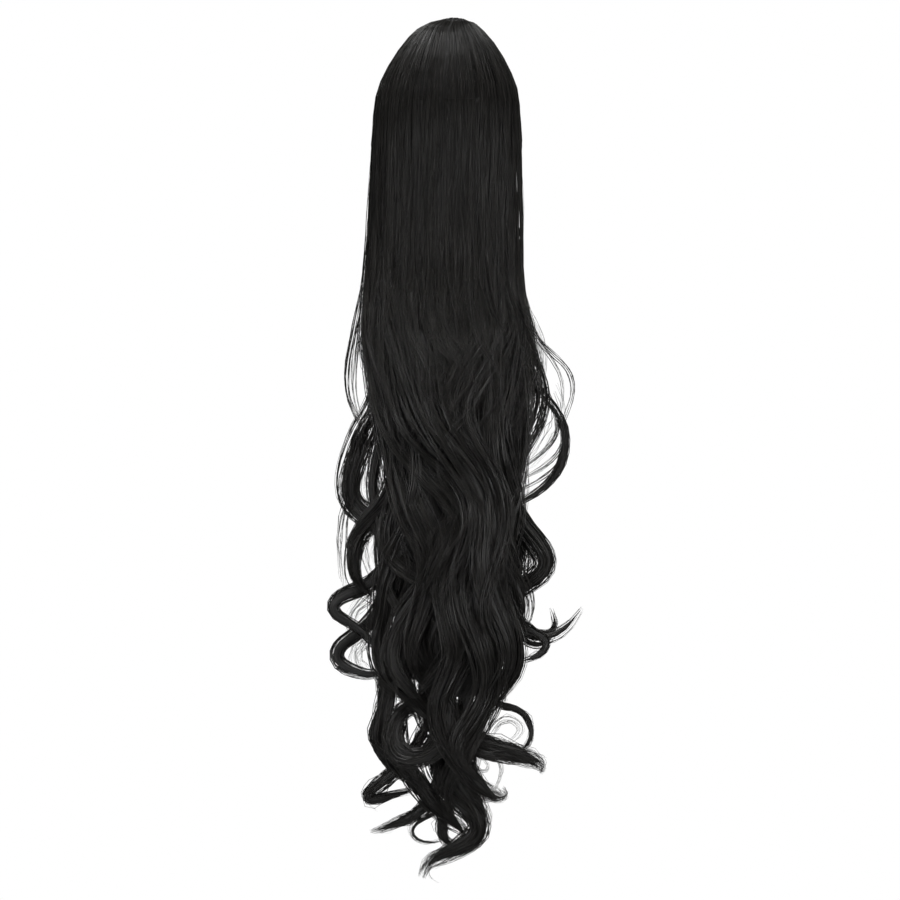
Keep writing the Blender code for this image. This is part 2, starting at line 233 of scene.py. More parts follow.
# Strands over the back of the dome, round the mouth of the clip, whose outline is a rounded oval
MOUTH_HALF_LENGTH = 45.0
MOUTH_HALF_HEIGHT = 23.6
MOUTH_POWER = 2.6
MOUTH_SAMPLES = 240
CAP_TOP = 48.2
CAP_LOW = -75.0
CAP_LOW_SCATTER = 12.0
CAP_ANGLES = (-8, 188)
CAP_ANGLE_SCATTER = 0.01
CAP_STRANDS = 460
CAP_STATIONS = 13
CAP_PACE = 1.7
CAP_WAVES = (1.2, 2.6)
CAP_SWING = 0.012
CAP_RISE = (0.3, 1.6)
CAP_RISE_SWING = 0.3
RIM_SCATTER = 2.0
RIM_TUCK = 1.8
RIM_TUCK_SHARE = 0.1
TOP_TUCK = 3.5
TOP_TUCK_SHARE = 0.06
CAP_RADIUS = 0.36
CAP_RADIUS_SCATTER = (0.7, 1.3)

# The ridged core under the locks, which tapers at its lower end
CORE_SIDES = 132
CORE_RINGS = 90
CORE_TOP = -27.0
CORE_END = -562.0
CORE_INSET = 0.8
CORE_SINK = 4.2
CORE_SINK_REACH = 60.0
CORE_WAVE_SINK = 2.5
CORE_TAPER = 24.0
CORE_TAPER_TOP = -520.0
CORE_TAPER_REACH = 75.0
CORE_RIDGE = 1.8
CORE_SWAY = 0.16
CORE_SWAY_PITCH = 24.0
CORE_SWAY_TURNS = 3
CORE_TONE = 8.0
SEED = 41

# Valleys between sheets of hair: their angle, drift and width in degrees, and their depth
Groove = namedtuple("Groove", "angle drift width depth")
GROOVES = (
    Groove(-43, 2.0, 2.6, 4.6),
    Groove(-58, -3.0, 1.6, 2.0),
    Groove(-71, 2.5, 2.0, 2.6),
    Groove(-86, -2.0, 1.6, 2.2),
    Groove(-99, 3.0, 2.0, 2.6),
    Groove(-112, -3.5, 1.7, 2.2),
    Groove(-126, -2.0, 2.2, 3.2),
    Groove(-145, 3.0, 2.4, 2.6),
    Groove(48, -3.0, 2.4, 3.0),
    Groove(74, 3.0, 2.0, 2.6),
    Groove(103, -3.0, 2.2, 2.6),
    Groove(131, 3.0, 2.2, 3.0),
)
GROOVE_TOP = -70.0
GROOVE_REACH = 110.0

# Finishes, whose scales stretch the noise over a strand's facts, the dome or the plain place
Finish = namedtuple("Finish", "name dark light ramp roughness scale detail strength bump")
STRANDS = Finish("hair_strands", (0.0018, 0.0018, 0.0017), (0.034, 0.032, 0.029), (0.35, 0.68),
                 (0.22, 0.40), (61.0, 16.0, 1.6), 3.0, 0.35, 0.0004)
# The under finish is the strands' hair colour made darker, for the core and the lock forms beneath them:
# painted shade.
SHADED_UNDER = Finish("hair_under_painted_shade", (0.0008, 0.0008, 0.0007), (0.020, 0.019, 0.018), (0.35, 0.68),
               (0.47, 0.65), (61.0, 16.0, 0.8), 3.0, 0.35, 0.0012)
# The crown finish is the hair colour made much darker, for the dome beneath the cap strands: painted shade.
SHADED_DOME = Finish("hair_crown_painted_shade", (0.0015, 0.0014, 0.0013), (0.008, 0.0075, 0.007), (0.35, 0.68),
              (0.47, 0.65), (26.0, 5.0, 1.0), 3.0, 0.35, 0.0004)
PLASTIC = Finish("clip_plastic", (0.008, 0.008, 0.009), (0.020, 0.020, 0.021), (0.0, 1.0),
                 (0.22, 0.42), (160.0, 160.0, 160.0), 4.0, 0.15, 0.0002)

# The stage, the camera and the lights, in metres, watts and degrees
FLOOR_RADIUS = 2.4
FLOOR_HEIGHT = -1.5
FLOOR_SHADE = 0.9
FLOOR_ROUGHNESS = 0.8
WORLD_SEEN = 1.0
WORLD_LIT = 0.105
CAMERA_PLACE = (0, -3.0, -0.3402)
LENS = 133.3
SENSOR_WIDTH = 36.0
AreaLight = namedtuple("AreaLight", "name place target width height power spread")
LIGHTS = (
    AreaLight("top_light", (0.1, -0.7, 1.2), (0, 0, -0.05), 1.1, 0.9, 22.0, 180),
    AreaLight("left_light", (-0.95, -1.05, -0.43), (0, 0, -0.46), 0.35, 0.5, 0.47, 50),
    AreaLight("right_light", (1.05, -0.95, -0.43), (0, 0, -0.46), 0.35, 0.5, 0.57, 50),
    AreaLight("brow_light", (0, -1.6, 0.62), (0, 0, -0.26), 0.5, 0.3, 0.14, 18),
    AreaLight("back_light", (-0.5, 1.5, 0.5), (0, 0, -0.30), 0.9, 0.9, 9.0, 180),
)

# One row for each lock: half its width and thickness, its number of strands, and its route (x, y, z)
Lock = namedtuple("Lock", "name half_width half_thickness strands route")

FRONT_LEFT = (
    Lock("left_sweep", 16, 4.5, 100, (
        (-58, -22, -215), (-58, -28, -254), (-54, -34, -290), (-42, -40, -322), (-18, -43, -354),
        (8, -44, -382), (20, -44, -410), (12, -43, -440), (2, -43, -466), (6, -43, -494),
        (10, -43, -520), (0, -39, -545), (-9, -34, -566), (-6, -30, -592), (5, -28, -612),
        (16, -26, -634), (31, -22, -648), (44, -20, -652))),
    Lock("bright_sweep", 16, 4.5, 96, (
        (-50, -30, -215), (-44, -38, -260), (-37, -43, -296), (-27, -44, -322), (-7, -47, -342),
        (12, -48, -362), (23, -47, -386), (24, -45, -412), (16, -44, -438), (13, -43, -462),
        (18, -43, -488), (28, -43, -512), (34, -40, -540), (28, -36, -566), (14, -33, -588),
        (5, -30, -606), (14, -27, -624), (30, -25, -634))),
    Lock("left_big_wave", 10, 4, 80, (
        (-66, -4, -214), (-64, -6, -250), (-62, -10, -277), (-66, -13, -300), (-75, -14, -319),
        (-83, -14, -343), (-90, -13, -368), (-89, -12, -386), (-80, -12, -397), (-66, -14, -406),
        (-52, -17, -424), (-49, -18, -442), (-58, -17, -458), (-68, -15, -470))),
    Lock("left_inner", 14, 4.5, 88, (
        (-62, -24, -215), (-62, -28, -258), (-59, -32, -288), (-56, -35, -313), (-50, -38, -338),
        (-44, -40, -360), (-38, -42, -384), (-30, -43, -404), (-18, -43, -424), (-12, -43, -448),
        (-20, -42, -476), (-30, -38, -502), (-35, -34, -526), (-28, -30, -548))),
    Lock("left_fall", 10.5, 3.5, 76, (
        (-56, -28, -215), (-60, -32, -262), (-57, -34, -305), (-49, -34, -340), (-47, -32, -366),
        (-56, -28, -386), (-71, -23, -402), (-84, -18, -418), (-87, -15, -438), (-85, -14, -455),
        (-76, -14, -467), (-62, -16, -478))),
    Lock("left_back_and_in", 13, 4, 64, (
        (-48, -34, -215), (-51, -38, -262), (-44, -41, -305), (-40, -41, -345), (-42, -39, -374),
        (-51, -36, -400), (-54, -34, -422), (-47, -35, -436), (-32, -38, -447), (-14, -40, -456),
        (-2, -39, -470), (6, -38, -488), (7, -36, -506), (0, -34, -524), (-12, -31, -541),
        (-24, -28, -555), (-40, -25, -566))),
    Lock("left_turn", 4, 3, 44, (
        (-72, -18, -216), (-72, -18, -256), (-66, -20, -296), (-61, -22, -325), (-66, -22, -348),
        (-70, -22, -372), (-66, -24, -396), (-62, -26, -420), (-62, -26, -442), (-56, -27, -462),
        (-46, -29, -480), (-38, -31, -498), (-38, -31, -516), (-46, -29, -534),
        (-50, -26, -550), (-44, -24, -564), (-30, -24, -572))),
)

FRONT_CENTRE = (
    Lock("centre_sweep", 16, 4.5, 100, (
        (-31, -37, -215), (-28, -42, -250), (-20, -43, -286), (-6, -47, -320), (11, -49, -345),
        (28, -48, -370), (36, -46, -400), (33, -44, -432), (36, -43, -462), (48, -41, -493),
        (54, -36, -514), (54, -32, -532), (44, -28, -552), (32, -26, -570), (22, -25, -590),
        (16, -24, -606))),
    Lock("centre", 16, 4.5, 92, (
        (-8, -39, -215), (-7, -43, -250), (-11, -45, -286), (-3, -48, -313), (12, -49, -334),
        (27, -48, -354), (36, -45, -384), (37, -43, -414), (47, -39, -440), (60, -33, -462),
        (68, -28, -482), (62, -24, -504))),
    Lock("centre_right", 15, 4.5, 84, (
        (34, -36, -220), (19, -43, -242), (5, -44, -264), (-2, -46, -288), (3, -47, -314),
        (15, -48, -338), (29, -47, -358), (40, -44, -386), (38, -43, -420), (28, -42, -450),
        (20, -40, -478), (24, -38, -505), (34, -35, -530), (36, -31, -556), (26, -28, -580),
        (14, -26, -602), (4, -24, -626), (-6, -22, -648), (2, -20, -668))),
    Lock("cross_centre", 12, 4, 60, (
        (8, -40, -215), (13, -43, -262), (20, -43, -302), (22, -46, -345), (13, -47, -383),
        (4, -46, -410), (-6, -44, -437), (-20, -43, -462), (-38, -38, -484), (-50, -32, -507),
        (-53, -28, -530), (-42, -26, -550), (-24, -26, -568), (-10, -26, -586))),
    Lock("left_column", 14, 4.5, 76, (
        (-38, -30, -215), (-36, -36, -262), (-28, -40, -310), (-24, -40, -360), (-34, -38, -405),
        (-50, -32, -440), (-58, -28, -464), (-59, -26, -486), (-64, -23, -504), (-65, -21, -522),
        (-59, -20, -541), (-48, -20, -554), (-34, -22, -561), (-18, -24, -568))),
)

FRONT_RIGHT = (
    Lock("right_inner", 13, 4.5, 84, (
        (26, -38, -215), (30, -43, -255), (34, -43, -286), (36, -43, -318), (38, -43, -345),
        (44, -38, -370), (56, -33, -394), (70, -28, -413), (82, -24, -428), (87, -21, -441),
        (80, -18, -453), (64, -16, -463), (50, -16, -473), (44, -17, -488), (52, -16, -506))),
    Lock("right_valley", 12, 4, 64, (
        (53, -30, -222), (48, -36, -262), (42, -40, -291), (40, -41, -318), (44, -40, -345),
        (52, -36, -372), (54, -33, -400), (46, -31, -430), (41, -30, -458), (48, -29, -484),
        (58, -26, -505), (62, -24, -526), (56, -21, -546), (45, -19, -562), (35, -18, -580))),
    Lock("right_edge", 13, 4.5, 90, (
        (58, -18, -214), (60, -19, -236), (67, -19, -256), (75, -18, -275), (78, -18, -293),
        (72, -19, -312), (60, -20, -334), (50, -21, -358), (49, -23, -385), (57, -23, -408),
        (65, -21, -425), (62, -18, -446), (52, -16, -462))),
    Lock("right_cascade", 12, 4, 64, (
        (44, -26, -216), (52, -30, -262), (60, -30, -302), (58, -30, -345), (46, -31, -385),
        (33, -34, -410), (38, -35, -430), (48, -32, -450), (55, -28, -466), (58, -24, -481),
        (54, -22, -500), (48, -22, -520), (42, -22, -544), (50, -20, -566))),
    Lock("right_loop", 3.6, 3, 44, (
        (60, -6, -214), (64, -6, -245), (72, -6, -272), (85, -7, -289), (96, -7, -301),
        (103, -7, -317), (104, -8, -336), (101, -8, -352), (91, -9, -368), (78, -10, -379),
        (64, -12, -387), (48, -14, -394))),
    Lock("right_horn", 6, 3, 40, (
        (58, -8, -214), (62, -6, -300), (52, -8, -380), (46, -10, -440), (52, -12, -482),
        (64, -11, -502), (78, -10, -508), (91, -9, -508), (102, -8, -502), (111, -7, -493),
        (119, -6, -480))),
)

TAIL = (
    Lock("tail_left_outer", 9, 4, 90, (
        (-44, -18, -500), (-57, -15, -524), (-57, -14, -544), (-55, -13, -560), (-60, -13, -576),
        (-65, -13, -592), (-63, -13, -606), (-53, -14, -619), (-40, -15, -629), (-28, -15, -640),
        (-18, -14, -654), (-6, -13, -668))),
    Lock("tail_ring", 9, 4, 90, (
        (-26, -20, -530), (-10, -24, -552), (-4, -28, -575), (-8, -28, -597), (-22, -26, -613),
        (-39, -24, -616), (-50, -22, -607), (-52, -20, -591), (-46, -18, -576), (-35, -17, -568),
        (-26, -18, -568), (-14, -20, -580), (-8, -22, -598))),
    Lock("tail_left_inner", 9, 3.5, 74, (
        (-24, -14, -490), (-36, -15, -514), (-42, -16, -536), (-40, -17, -556), (-28, -18, -570),
        (-14, -20, -582), (-6, -20, -600))),
    Lock("tail_right_tip", 9, 3.5, 90, (
        (-6, -28, -548), (-6, -29, -568), (4, -29, -585), (18, -29, -595), (36, -28, -605),
        (56, -26, -610), (72, -23, -615), (84, -21, -620), (87, -20, -627), (80, -19, -629))),
    Lock("tail_right_second_tip", 6, 2.5, 56, (
        (4, -26, -584), (14, -27, -602), (28, -27, -611), (46, -26, -613), (62, -24, -615),
        (74, -22, -620), (85, -20, -628))),
    Lock("right_ring", 3, 2, 26, (
        (30, -14, -540), (37, -10, -560), (45, -8, -571), (56, -7, -571), (66, -7, -575),
        (73, -8, -586), (74, -9, -598), (68, -11, -609), (57, -13, -613))),
    Lock("tail_right_lower", 9.5, 4, 90, (
        (-6, -20, -560), (-4, -20, -590), (6, -21, -612), (18, -22, -632), (30, -22, -645),
        (42, -20, -653), (51, -18, -652), (53, -16, -645), (46, -15, -643))),
    Lock("tail_left_point", 6, 3, 76, (
        (-14, -14, -570), (-26, -14, -598), (-40, -14, -618), (-54, -12, -632), (-67, -10, -643),
        (-78, -9, -652), (-73, -8, -656), (-58, -8, -652), (-42, -9, -648), (-28, -10, -643))),
    Lock("tail_left_horn", 6, 3, 70, (
        (-2, -10, -604), (-10, -10, -640), (-22, -9, -660), (-36, -8, -671), (-50, -7, -677),
        (-72, -6, -684))),
    Lock("tail_left_loop", 1.6, 1.2, 10, (
        (2, -10, -640), (-8, -9, -664), (-24, -8, -671), (-36, -7, -680), (-34, -7, -689),
        (-16, -8, -693), (-2, -9, -690))),
    Lock("tail_stem_left", 9.5, 4.5, 90, (
        (-46, -14, -574), (-49, -14, -598), (-42, -14, -618), (-30, -14, -637), (-15, -13, -655),
        (-1, -12, -670), (12, -13, -682), (20, -13, -694))),
    Lock("tail_stem", 10, 4.5, 120, (
        (2, -14, -560), (-6, -14, -600), (-10, -13, -626), (-2, -13, -643), (12, -15, -656),
        (23, -17, -668), (27, -17, -679), (21, -16, -689), (6, -15, -697), (-10, -13, -704),
        (-20, -12, -711), (-25, -11, -724))),
    Lock("tail_stem_right", 9, 4, 80, (
        (10, -18, -590), (8, -19, -628), (16, -19, -646), (27, -19, -658), (33, -18, -668),
        (32, -17, -680))),
    Lock("tail_under_loop", 6, 2.6, 56, (
        (4, -12, -640), (-1, -10, -658), (-7, -9, -674), (-8, -8, -688), (2, -8, -697),
        (16, -10, -694))),
    Lock("right_spike", 3.8, 2, 36, (
        (50, -8, -490), (64, -7, -504), (80, -7, -508), (92, -6, -505), (96, -6, -495),
        (90, -6, -482))),
    Lock("right_hook", 4.5, 2.4, 30, (
        (56, -10, -480), (70, -10, -502), (84, -9, -508), (90, -9, -514), (84, -10, -522),
        (73, -11, -528), (58, -13, -530))),
)

# Thin strands that stand off the rest
FLYAWAY = (
    Lock("left_halo", 2.4, 3, 30, (
        (-70, -10, -130), (-76, -12, -178), (-82, -13, -215), (-89, -13, -245), (-93, -12, -272),
        (-92, -12, -292), (-85, -13, -308), (-76, -14, -326), (-70, -15, -340))),
    Lock("left_halo_inner", 2.4, 3, 18, (
        (-72, -8, -150), (-78, -10, -200), (-83, -11, -240), (-87, -11, -275), (-84, -12, -302),
        (-77, -13, -326))),
    Lock("left_low_halo", 3.4, 2, 24, (
        (-88, -13, -372), (-95, -12, -398), (-98, -12, -425), (-97, -12, -450), (-94, -12, -466))),
    Lock("right_outer_loop", 2.2, 2, 18, (
        (62, -8, -200), (67, -8, -222), (79, -9, -243), (95, -9, -257), (106, -9, -268),
        (111, -9, -281), (110, -9, -293), (106, -9, -304), (100, -9, -318), (100, -9, -332))),
    Lock("right_outer_second", 1.8, 2, 9, (
        (64, -6, -205), (72, -7, -230), (85, -8, -250), (96, -8, -266), (102, -8, -284),
        (100, -8, -300), (97, -8, -318))),
    Lock("right_loop_inner", 1.6, 1.5, 24, (
        (90, -8, -296), (96, -8, -310), (97, -8, -325), (88, -9, -338), (76, -10, -348),
        (64, -12, -356), (52, -14, -362))),
    Lock("right_loop_middle", 1.6, 1.5, 24, (
        (94, -8, -302), (101, -8, -318), (102, -8, -334), (92, -8, -349), (79, -10, -358),
        (66, -12, -365), (54, -14, -370))),
    Lock("right_loop_lower", 1.9, 1.5, 28, (
        (98, -8, -312), (103, -8, -330), (101, -8, -347), (90, -8, -360), (77, -10, -369),
        (65, -12, -375), (52, -14, -380))),
    Lock("right_loop_haze", 8, 2, 14, (
        (84, -8, -280), (92, -8, -302), (88, -8, -322), (78, -9, -338), (68, -11, -350),
        (58, -13, -358))),
    Lock("left_wave_haze", 4, 2, 20, (
        (-62, -13, -306), (-70, -13, -332), (-74, -13, -358), (-71, -13, -384), (-60, -14, -404))),
    Lock("left_low_haze", 5, 2, 26, (
        (-58, -13, -396), (-70, -13, -414), (-75, -13, -432), (-70, -13, -452), (-58, -14, -466))),
    Lock("left_curl_cross", 5, 2, 28, (
        (-60, -8, -462), (-72, -8, -470), (-84, -8, -482), (-92, -8, -492), (-88, -8, -504),
        (-74, -9, -514))),
    Lock("left_curl_cross_low", 6, 2, 34, (
        (-60, -8, -500), (-72, -6, -506), (-82, -5, -516), (-88, -4, -528), (-80, -4, -538),
        (-66, -5, -542))),
    Lock("right_shoulder", 3.0, 2, 8, (
        (58, -16, -400), (72, -15, -418), (86, -14, -432), (90, -14, -444), (82, -14, -455),
        (68, -14, -466))),
    Lock("tail_circle", 1.8, 1.5, 7, (
        (-8, -10, -650), (-24, -9, -662), (-35, -8, -672), (-38, -8, -684), (-28, -8, -694),
        (-14, -9, -694), (-4, -10, -684))),
    Lock("tail_point_haze", 4, 2, 16, (
        (-34, -13, -616), (-46, -12, -627), (-56, -11, -637), (-64, -10, -645))),
    Lock("tail_right_hang", 1.8, 1, 22, (
        (36, -20, -606), (44, -19, -617), (48, -18, -628), (42, -18, -638), (40, -18, -648))),
    Lock("tail_right_curl", 1.8, 1, 20, (
        (14, -20, -612), (22, -19, -624), (31, -18, -631), (37, -18, -627), (34, -18, -618),
        (26, -18, -615))),
    Lock("tail_left_hook", 0.8, 0.6, 8, (
        (-56, -10, -636), (-70, -9, -647), (-77, -8, -655), (-73, -8, -661), (-64, -8, -665))),
    Lock("tail_tip_hook", 0.8, 0.6, 7, (
        (-4, -13, -700), (-17, -12, -710), (-22, -11, -719), (-18, -11, -726), (-10, -11, -728))),
    Lock("left_edge_fuzz", 1.6, 2, 14, (
        (-65, -4, -30), (-70, -6, -80), (-74, -8, -130), (-77, -9, -175), (-80, -9, -215),
        (-84, -10, -255), (-84, -11, -290))),
    Lock("right_edge_fuzz", 1.4, 2, 14, (
        (59, -4, -30), (63, -5, -80), (65, -6, -130), (65, -6, -178), (68, -7, -208),
        (76, -8, -232), (84, -8, -248))),
    Lock("right_ring_inner", 2.8, 2, 18, (
        (34, -10, -600), (40, -9, -588), (50, -8, -580), (60, -8, -582), (64, -8, -592),
        (58, -9, -601), (48, -10, -604))),
)

BACK_LEFT = (
    Lock("left_curl_upper", 6.5, 3.4, 86, (
        (-68, 8, -214), (-58, 8, -300), (-46, 8, -380), (-50, 3, -430), (-66, -3, -456),
        (-80, -6, -465), (-95, -7, -470), (-106, -7, -477), (-107, -6, -485), (-100, -6, -491),
        (-88, -8, -496), (-77, -10, -505), (-64, -12, -520), (-56, -13, -536))),
    Lock("left_curl_lower", 6.5, 3.4, 86, (
        (-62, 14, -214), (-54, 15, -300), (-42, 13, -380), (-48, 9, -440), (-62, 4, -482),
        (-78, 1, -502), (-91, 0, -510), (-102, 0, -519), (-104, 0, -528), (-98, 0, -535),
        (-87, -1, -539), (-74, -3, -543), (-58, -6, -540), (-44, -8, -536))),
    Lock("back_left_outer", 13, 5, 74, (
        (-60, 17, -205), (-58, 20, -250), (-48, 26, -300), (-46, 28, -350), (-46, 26, -396),
        (-40, 25, -436), (-38, 25, -470), (-48, 22, -508), (-52, 19, -545), (-56, 16, -572),
        (-60, 13, -592))),
    Lock("back_left_inner", 14, 5, 74, (
        (-42, 24, -205), (-40, 30, -244), (-32, 34, -286), (-36, 37, -334), (-36, 38, -384),
        (-28, 39, -430), (-22, 38, -470), (-28, 35, -510), (-22, 30, -545), (-8, 23, -578),
        (-4, 16, -612))),
    Lock("back_left_centre", 16, 5, 80, (
        (-22, 26, -205), (-26, 32, -262), (-12, 36, -314), (-24, 39, -366), (-32, 41, -416),
        (-16, 41, -460), (-6, 39, -500), (-20, 36, -540), (-20, 30, -578), (-4, 23, -612),
        (-10, 16, -646))),
)

BACK_RIGHT = (
    Lock("back_centre", 16, 5, 80, (
        (-2, 26, -205), (-5, 32, -248), (8, 36, -296), (-4, 39, -346), (-13, 41, -396),
        (3, 41, -440), (14, 39, -482), (0, 36, -524), (-6, 31, -566), (12, 24, -606),
        (10, 17, -648), (-8, 13, -678))),
    Lock("back_right_centre", 16, 5, 80, (
        (18, 26, -205), (17, 32, -266), (30, 36, -320), (20, 39, -374), (10, 41, -422),
        (26, 41, -464), (36, 38, -502), (22, 35, -540), (12, 30, -578), (24, 23, -610),
        (20, 16, -640))),
    Lock("back_right_inner", 14, 5, 74, (
        (36, 24, -205), (37, 30, -246), (48, 33, -288), (42, 36, -336), (33, 38, -382),
        (42, 38, -428), (50, 36, -468), (40, 33, -510), (30, 28, -548), (30, 21, -582),
        (22, 15, -612))),
    Lock("back_right_outer", 14, 5, 74, (
        (52, 17, -205), (58, 20, -244), (64, 25, -284), (54, 27, -330), (45, 28, -374),
        (54, 28, -414), (58, 26, -448), (52, 24, -484), (46, 21, -520), (38, 17, -552),
        (28, 14, -584))),
    Lock("back_right_flick", 4.6, 2.8, 34, (
        (62, 8, -205), (66, 8, -300), (56, 10, -380), (54, 10, -450), (58, 9, -498),
        (72, 7, -516), (86, 6, -516), (95, 5, -506), (97, 5, -496))),
)


def clear_start():
    """Removes what a new file starts with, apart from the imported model."""
    for item in list(bpy.data.objects):
        if item.type in ("CAMERA", "LIGHT") or item.name == "Cube":
            bpy.data.objects.remove(item, do_unlink=True)


def blurred_levels():
    """The body's left, right, front and back at each millimetre of height, with the corners rounded."""
    heights = np.arange(LEVELS[0].z, LEVELS[-1].z - 1, -1.0)
    rows = []
    for k in range(1, 5):
        column = np.interp(-heights, [-level.z for level in LEVELS], [level[k] for level in LEVELS])
        padded = np.pad(column, LEVEL_BLUR // 2, mode="reflect", reflect_type="odd")
        rows.append(np.convolve(padded, np.ones(LEVEL_BLUR) / LEVEL_BLUR, mode="valid"))
    return heights, rows


HEIGHTS, OUTLINES = blurred_levels()


def body_point(z, angle, inset):
    """Points on the body of the hair. Angle 0 is the right and 90 degrees the back."""
    left, right, front, back = (np.interp(-z, -HEIGHTS, row) for row in OUTLINES)
    cosine, sine = np.cos(angle), np.sin(angle)
    depth = np.maximum(np.where(sine > 0, back, -front) - inset, 0.5)
    width = np.maximum((right - left) / 2 - inset, 0.5)
    power = 2 / SECTION_POWER
    x = (left + right) / 2 + np.sign(cosine) * np.abs(cosine) ** power * width
    y = np.sign(sine) * np.abs(sine) ** power * depth
    return np.stack([x, y, np.broadcast_to(z, x.shape)], axis=-1)


def groove_depth(angle, z):
    """How far the valleys between the sheets of hair sink in at points on the body."""
    total = np.zeros(np.broadcast(angle, z).shape)
    for groove in GROOVES:
        middle = np.radians(groove.angle + groove.drift * (GROOVE_TOP - z) / GROOVE_REACH)
        away = np.angle(np.exp(1j * (angle - middle))) / math.radians(groove.width)
        total += groove.depth * np.exp(-away ** 2)
    return total * ease((GROOVE_TOP - z) / GROOVE_REACH)


def body_angle(place):
    """The angle on the body's section that faces a place."""
    left, right, front, back = (float(np.interp(-place[2], -HEIGHTS, row)) for row in OUTLINES)
    across = (place[0] - (left + right) / 2) / ((right - left) / 2)
    depth = place[1] / (back if place[1] > 0 else -front)
    power = SECTION_POWER / 2
    sine, cosine = (math.copysign(abs(share) ** power, share) for share in (depth, across))
    return math.atan2(sine, cosine)


def smooth_line(points, step):
    """Points about a step apart on a smooth curve through the given places."""
    places = np.array(points, float)
    ends = np.vstack([2 * places[0] - places[1], places, 2 * places[-1] - places[-2]])
    knots = np.concatenate([[0], np.cumsum(np.linalg.norm(np.diff(ends, axis=0), axis=1) ** 0.5)])
    pieces = [places[:1]]
    for i in range(1, len(ends) - 2):
        count = max(1, round(np.linalg.norm(ends[i + 1] - ends[i]) / step))
        t = np.linspace(knots[i], knots[i + 1], count + 1)[1:, None]
        a = [((knots[i + k] - t) * ends[i + k - 1] + (t - knots[i + k - 1]) * ends[i + k])
             / (knots[i + k] - knots[i + k - 1]) for k in range(3)]
        b = [((knots[i + k + 1] - t) * a[k] + (t - knots[i + k - 1]) * a[k + 1])
             / (knots[i + k + 1] - knots[i + k - 1]) for k in range(2)]
        pieces.append(((knots[i + 1] - t) * b[0] + (t - knots[i]) * b[1]) / (knots[i + 1] - knots[i]))
    return np.vstack(pieces)


def blur_line(line, passes):
    """Evens out a line's bends, with its ends kept."""
    for _ in range(passes):
        line = np.vstack([line[:1], (line[:-2] + 2 * line[1:-1] + line[2:]) / 4, line[-1:]])
    return line


def unit(vectors):
    """Vectors brought to a length of 1."""
    return vectors / np.maximum(np.linalg.norm(vectors, axis=-1, keepdims=True), 1e-9)


Line = namedtuple("Line", "places across outward along stations angle")


def lock_line(lock, steps, facing, spread):
    """A lock's middle line with its directions, from the crown, the nape or its own first place."""
    angle = body_angle(lock.route[0])
    points = [tuple(body_point(np.float64(z), angle, LINE_INSET)) for z in steps] + list(lock.route)
    places = blur_line(smooth_line(points, LINE_STEP), LINE_BLUR)
    phase = places[:, 2] / spread.uniform(*WAVE_PITCH) + spread.random()
    places[:, 1] += LOCK_WAVE * np.sin(2 * math.pi * phase) * looseness(places[:, 2])
    tangents = unit(np.gradient(places, axis=0))
    outward = np.empty_like(places)
    current = np.array([0.0, facing, 0.0] if facing else [math.cos(angle), math.sin(angle), 0.0])
    for i, tangent in enumerate(tangents):
        current = unit(current - tangent * current.dot(tangent))
        outward[i] = current
    across = np.cross(tangents, outward)
    steps_along = np.linalg.norm(np.diff(places, axis=0), axis=1)
    along = np.concatenate([[0], np.cumsum(steps_along)])
    waves = spread.uniform(*TWIST_WAVES) * along / along[-1] + spread.random()
    turn = (LOCK_TWIST * np.sin(2 * math.pi * waves))[:, None]
    across, outward = (across * np.cos(turn) - outward * np.sin(turn),
                       outward * np.cos(turn) + across * np.sin(turn))
    return Line(places, across, outward, along, line_stations(tangents, steps_along, along), angle)


def line_stations(tangents, steps_along, along):
    """Distances along a line for its rings, closer together where it bends more."""
    bend = np.linalg.norm(np.gradient(tangents, axis=0), axis=1) / np.gradient(along)
    padded = np.pad(bend, BEND_BLUR // 2, mode="edge")
    bend = np.maximum(np.convolve(padded, np.ones(BEND_BLUR) / BEND_BLUR, mode="valid"), FLATTEST_BEND)
    segment = np.clip(np.sqrt(8 * CHORD_ERROR / bend), SHORTEST_SEGMENT, LONGEST_SEGMENT)
    ticks = np.concatenate([[0], np.cumsum(steps_along / segment[1:])])
    count = max(FEWEST_SEGMENTS, math.ceil(ticks[-1]))
    return np.interp(np.linspace(0, ticks[-1], count + 1), ticks, along)


def stations_between(line, first, last):
    """A line's stations between two distances along it, with the two as its ends."""
    inner = line.stations[(line.stations > first + END_CLEAR) & (line.stations < last - END_CLEAR)]
    return np.concatenate([[first], inner, [last]])


def sample(line, values, at):
    """Values along a line, read at distances from its start."""
    return np.stack([np.interp(at, line.along, values[:, k]) for k in range(3)], axis=-1)


def ease(x):
    """Rises smoothly from 0 to 1 as x does."""
    x = np.clip(x, 0, 1)
    return x * x * (3 - 2 * x)


def looseness(z):
    """How far the hair at a height has come loose into waves, from 0 to 1."""
    return ease((LOOSE_START - z) / LOOSE_REACH)


def wander(spread, group, share, waves):
    """Smooth random swings over the strands' shares of length, alike for the strands of one group."""
    groups = group.max() + 1
    total = np.zeros_like(share)
    for turns in waves:
        phase = spread.uniform(0, 2 * math.pi, groups)[group]
        pace = turns * spread.uniform(*SWING_PACE, groups)[group]
        total += np.sin(2 * math.pi * pace[:, None] * share + phase[:, None])
    return total / len(waves) ** 0.5


def lock_profile(lock, line, at, from_body):
    """A lock's width at distances along its line, as a share of its full width."""
    route_start = line.along[-1] - route_length(lock)
    share = (at - route_start) / max(1.0, line.along[-1] - route_start)
    start, tip = (ROOT_WIDTH, ROOTED_TIP) if from_body else (1.0, FREE_TIP)
    places, widths = zip(*PROFILE)
    return np.interp(share, (0, *places, 1), (start, *widths, tip))


def strand_groups(lock, line, from_body):
    """How many strands run over which stretch of the lock, as (count, first, last) along it."""
    length = line.along[-1]
    hidden = length - route_length(lock) - HIDDEN_START
    return [(max(2, round(row.share * lock.strands)), hidden if row.hidden else 0.0, length * row.end)
            for row in (ROOTED_STRETCHES if from_body else FREE_STRETCHES)]


